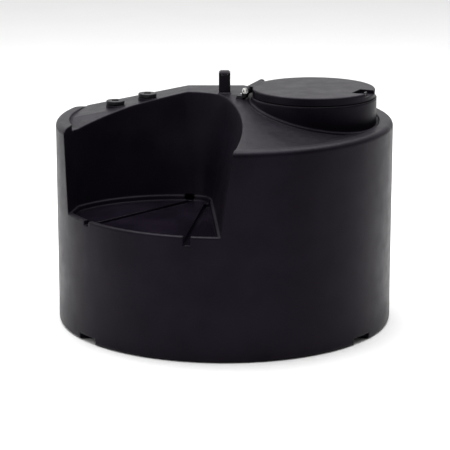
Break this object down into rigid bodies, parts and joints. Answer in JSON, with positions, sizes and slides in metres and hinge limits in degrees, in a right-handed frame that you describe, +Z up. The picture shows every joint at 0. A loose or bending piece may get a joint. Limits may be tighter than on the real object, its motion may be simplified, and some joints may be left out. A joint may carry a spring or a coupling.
{
  "type": "livestock water trough",
  "caption": "Round drum water trough with a flat back, an open drinking bay with a drained tray, a hinged manway lid, screw plugs and a float valve inside.",
  "frame": {"origin": "on the ground, on the drum's axis", "axes": "+Z up, -Y out of the front, where the drinking bay opens; the flat back faces +Y"},
  "size_m": [1.2498, 0.905, 0.919],
  "materials": {
    "tank_plastic": "satin rotomoulded polyethylene",
    "lid_plastic": "satin moulded polyethylene",
    "seal_rubber": "matt nitrile",
    "bracket_plastic": "satin nylon",
    "stainless_bolt": "turned and brushed",
    "stainless_small": "plain",
    "stainless_plate": "bead blasted",
    "plug_plastic": "satin moulded nylon",
    "brass_insert": "machined",
    "vent_plastic": "satin moulded polyethylene",
    "brass_valve": "machined and dulled",
    "piston_plastic": "smooth acetal",
    "arm_brass": "drawn rod",
    "ball_plastic": "blow moulded, orange"
  },
  "bodies": {
    "tank": {"tank_body": "tank_plastic", "hinge_bracket": "bracket_plastic", "hinge_bolt": "stainless_bolt", "hinge_washers": "stainless_small", "hinge_nut": "stainless_small", "bracket_screws": "stainless_small", "lock_staple": "stainless_plate", "staple_screws": "stainless_small", "fill_plug_insert": "brass_insert", "spare_plug_insert": "brass_insert", "drain_plug_insert": "brass_insert", "vent_riser": "vent_plastic", "vent_cap": "vent_plastic", "float_valve": "brass_valve", "float_valve_seal": "seal_rubber", "float_valve_nut": "brass_valve", "lever_pin": "stainless_small", "lid_gasket": "seal_rubber"},
    "lid": {"lid": "lid_plastic"},
    "fill_plug": {"fill_plug": "plug_plastic", "fill_plug_seal": "seal_rubber"},
    "spare_plug": {"spare_plug": "plug_plastic", "spare_plug_seal": "seal_rubber"},
    "drain_plug": {"drain_plug": "plug_plastic", "drain_plug_seal": "seal_rubber"},
    "float_lever": {"float_arm": "arm_brass", "float_ball": "ball_plastic"},
    "valve_piston": {"valve_piston": "piston_plastic"}
  },
  "joints": [
    {"name": "lid_hinge", "type": "hinge", "parent": "tank", "child": "lid", "pos_m": [0.10862, 0.06883, 0.862], "axis": [-0.3355, -0.9421, 0], "range_deg": [0, 105]},
    {"name": "fill_plug_lift", "type": "slide", "parent": "tank", "child": "fill_plug", "axis": [0, 0, 1], "range_m": [0, 0.05]},
    {"name": "spare_plug_lift", "type": "slide", "parent": "tank", "child": "spare_plug", "axis": [0, 0, 1], "range_m": [0, 0.05]},
    {"name": "drain_plug_pull", "type": "slide", "parent": "tank", "child": "drain_plug", "axis": [0, 1, 0], "range_m": [0, 0.05]},
    {"name": "float_swing", "type": "hinge", "parent": "tank", "child": "float_lever", "pos_m": [0.33, 0.154, 0.57], "axis": [1, 0, 0], "range_deg": [0, 28]},
    {"name": "piston_travel", "type": "slide", "parent": "tank", "child": "valve_piston", "axis": [0, -1, 0], "range_m": [0, 0.0067]}
  ],
  "couplings": [
    {"joint": "piston_travel", "follows": "float_swing", "m_per_rad": 0.0137}
  ]
}
